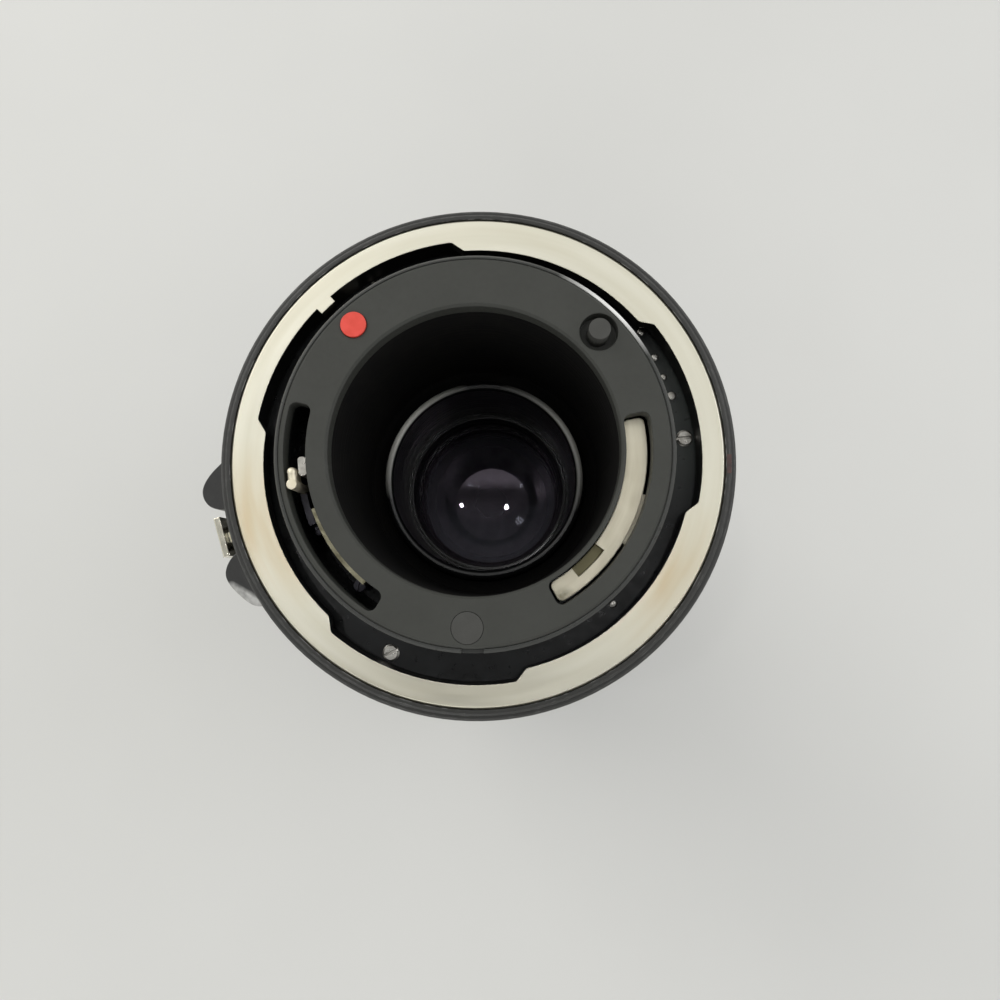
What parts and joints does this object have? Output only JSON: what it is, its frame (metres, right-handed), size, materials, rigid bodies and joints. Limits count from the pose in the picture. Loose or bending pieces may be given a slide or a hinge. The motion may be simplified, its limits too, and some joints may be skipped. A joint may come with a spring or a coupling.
{
  "type": "telephoto zoom lens",
  "caption": "Push-pull telephoto zoom lens for a still camera, with a rubber zoom and focus grip, an aperture ring and a breech-lock rear bayonet.",
  "frame": {"origin": "centre of the front rim, where the lens stands, on the optical axis", "axes": "+Z along the optical axis from the front rim to the rear mount; +X to the right and +Y up when the rear mount is looked at with the alignment dot at the upper left"},
  "size_m": [0.0738, 0.0738, 0.162],
  "materials": {
    "black_anodised": "black anodised aluminium, satin",
    "black_barrel": "black satin paint on aluminium",
    "black_plastic": "black glass-filled plastic, fine matte grain",
    "matte_black_plate": "dark grey moulded plastic, matte",
    "grip_rubber": "black ribbed rubber",
    "satin_nickel": "satin nickel-chrome plate, worn",
    "chrome_trim": "bright chrome plate",
    "steel": "bare steel",
    "blade_steel": "blackened spring steel",
    "brass_helicoid": "turned brass",
    "red_paint": "red enamel",
    "coated_glass": "multicoated optical glass"
  },
  "bodies": {
    "barrel": {"helicoid_sleeve": "brass_helicoid", "guide_tube": "black_anodised", "scale_barrel": "black_barrel", "rear_frame": "black_anodised", "frame_screws": "steel", "mount_barrel": "black_barrel", "bayonet_ring": "satin_nickel", "iris_housing": "black_anodised", "iris_cover": "black_anodised", "relay_tube": "black_anodised", "relay_front_cell": "black_anodised", "relay_front_glass": "coated_glass", "relay_rear_cell": "black_anodised", "relay_rear_glass": "coated_glass", "relay_retainer": "black_anodised"},
    "focus_tube": {"focus_tube": "black_anodised"},
    "grip": {"grip_tube": "black_barrel", "rubber_sleeve": "grip_rubber", "zoom_sleeve": "black_anodised"},
    "front_cell": {"filter_ring": "black_anodised", "front_tube": "black_anodised", "front_retainer": "black_anodised", "front_spacer": "black_anodised", "front_doublet": "coated_glass", "front_singlet": "coated_glass"},
    "zoom_ring": {"zoom_ring": "brass_helicoid", "drive_roller": "steel"},
    "cam_tube": {"cam_tube": "black_anodised"},
    "variator": {"variator_cell": "black_anodised", "variator_rollers": "brass_helicoid", "variator_glass": "coated_glass"},
    "compensator": {"compensator_cell": "black_anodised", "compensator_rollers": "brass_helicoid", "compensator_glass": "coated_glass"},
    "aperture_ring": {"aperture_ring": "black_plastic"},
    "ae_lock": {"ae_lock_button": "chrome_trim"},
    "release": {"release_button": "chrome_trim"},
    "mount_core": {"core_body": "matte_black_plate", "rear_plate": "matte_black_plate", "alignment_dot": "red_paint", "speed_post": "black_plastic", "blank_plug": "matte_black_plate", "light_shield": "matte_black_plate", "stop_pin": "steel", "return_spring": "steel"},
    "auto_lever": {"auto_lever": "steel"},
    "signal_lever": {"signal_lever": "satin_nickel"},
    "lock_pin": {"lock_pin": "chrome_trim"},
    "iris_ring": {"iris_ring": "steel"},
    "blade_1": {"iris_blade_1": "blade_steel"},
    "blade_2": {"iris_blade_2": "blade_steel"},
    "blade_3": {"iris_blade_3": "blade_steel"},
    "blade_4": {"iris_blade_4": "blade_steel"},
    "blade_5": {"iris_blade_5": "blade_steel"},
    "blade_6": {"iris_blade_6": "blade_steel"}
  },
  "joints": [
    {"name": "focus_turn", "type": "hinge", "parent": "barrel", "child": "focus_tube", "pos_m": [0, 0, 0], "axis": [0, 0, 1], "range_deg": [0, 150]},
    {"name": "zoom_slide", "type": "slide", "parent": "focus_tube", "child": "grip", "axis": [0, 0, 1], "range_m": [0, 0.032]},
    {"name": "front_travel", "type": "slide", "parent": "focus_tube", "child": "front_cell", "axis": [0, 0, -1], "range_m": [0, 0.009]},
    {"name": "zoom_ring_slide", "type": "slide", "parent": "barrel", "child": "zoom_ring", "axis": [0, 0, 1], "range_m": [0, 0.032]},
    {"name": "cam_turn", "type": "hinge", "parent": "barrel", "child": "cam_tube", "pos_m": [0, 0, 0], "axis": [0, 0, 1], "range_deg": [0, 80]},
    {"name": "variator_slide", "type": "slide", "parent": "barrel", "child": "variator", "axis": [0, 0, 1], "range_m": [0, 0.02]},
    {"name": "compensator_slide", "type": "slide", "parent": "barrel", "child": "compensator", "axis": [0, 0, -1], "range_m": [0, 0.007]},
    {"name": "aperture_turn", "type": "hinge", "parent": "barrel", "child": "aperture_ring", "pos_m": [0, 0, 0], "axis": [0, 0, 1], "range_deg": [0, 60]},
    {"name": "ae_lock_press", "type": "slide", "parent": "aperture_ring", "child": "ae_lock", "axis": [0.1736, -0.9848, 0], "range_m": [0, 0.0006], "stiffness_N_per_m": 150, "springref_m": -0.002},
    {"name": "release_press", "type": "slide", "parent": "barrel", "child": "release", "axis": [0.9558, 0.294, 0], "range_m": [0, 0.0012], "stiffness_N_per_m": 200, "springref_m": -0.002},
    {"name": "mount_turn", "type": "hinge", "parent": "barrel", "child": "mount_core", "pos_m": [0, 0, 0], "axis": [0, 0, 1], "range_deg": [-62, 0]},
    {"name": "auto_lever_turn", "type": "hinge", "parent": "mount_core", "child": "auto_lever", "pos_m": [0, 0, 0], "axis": [0, 0, 1], "range_deg": [0, 16], "stiffness_Nm_per_rad": 0.02, "springref_deg": -11.46},
    {"name": "signal_lever_turn", "type": "hinge", "parent": "mount_core", "child": "signal_lever", "pos_m": [0, 0, 0], "axis": [0, 0, 1], "range_deg": [0, 60]},
    {"name": "lock_pin_press", "type": "slide", "parent": "mount_core", "child": "lock_pin", "axis": [0, 0, -1], "range_m": [0, 0.0015], "stiffness_N_per_m": 100, "springref_m": -0.002},
    {"name": "iris_ring_turn", "type": "hinge", "parent": "barrel", "child": "iris_ring", "pos_m": [0, 0, 0], "axis": [0, 0, 1], "range_deg": [0, 16]},
    {"name": "blade_1_turn", "type": "hinge", "parent": "barrel", "child": "blade_1", "pos_m": [0.0172, 0, 0.0987], "axis": [0, 0, 1], "range_deg": [-24.5, 0]},
    {"name": "blade_2_turn", "type": "hinge", "parent": "barrel", "child": "blade_2", "pos_m": [0.0086, 0.0149, 0.0987], "axis": [0, 0, 1], "range_deg": [-24.5, 0]},
    {"name": "blade_3_turn", "type": "hinge", "parent": "barrel", "child": "blade_3", "pos_m": [-0.0086, 0.0149, 0.0987], "axis": [0, 0, 1], "range_deg": [-24.5, 0]},
    {"name": "blade_4_turn", "type": "hinge", "parent": "barrel", "child": "blade_4", "pos_m": [-0.0172, 0, 0.0987], "axis": [0, 0, 1], "range_deg": [-24.5, 0]},
    {"name": "blade_5_turn", "type": "hinge", "parent": "barrel", "child": "blade_5", "pos_m": [-0.0086, -0.0149, 0.0987], "axis": [0, 0, 1], "range_deg": [-24.5, 0]},
    {"name": "blade_6_turn", "type": "hinge", "parent": "barrel", "child": "blade_6", "pos_m": [0.0086, -0.0149, 0.0987], "axis": [0, 0, 1], "range_deg": [-24.5, 0]}
  ],
  "couplings": [
    {"joint": "front_travel", "follows": "focus_turn", "m_per_rad": 0.0034377},
    {"joint": "zoom_ring_slide", "follows": "zoom_slide", "ratio": 1},
    {"joint": "cam_turn", "follows": "zoom_slide", "rad_per_m": 43.633},
    {"joint": "variator_slide", "follows": "zoom_slide", "ratio": 0.625},
    {"joint": "compensator_slide", "follows": "zoom_slide", "ratio": 0.21875},
    {"joint": "signal_lever_turn", "follows": "aperture_turn", "ratio": 1},
    {"joint": "iris_ring_turn", "follows": "auto_lever_turn", "ratio": 1},
    {"joint": "blade_1_turn", "follows": "auto_lever_turn", "ratio": -1.5312},
    {"joint": "blade_2_turn", "follows": "auto_lever_turn", "ratio": -1.5312},
    {"joint": "blade_3_turn", "follows": "auto_lever_turn", "ratio": -1.5312},
    {"joint": "blade_4_turn", "follows": "auto_lever_turn", "ratio": -1.5312},
    {"joint": "blade_5_turn", "follows": "auto_lever_turn", "ratio": -1.5312},
    {"joint": "blade_6_turn", "follows": "auto_lever_turn", "ratio": -1.5312}
  ]
}
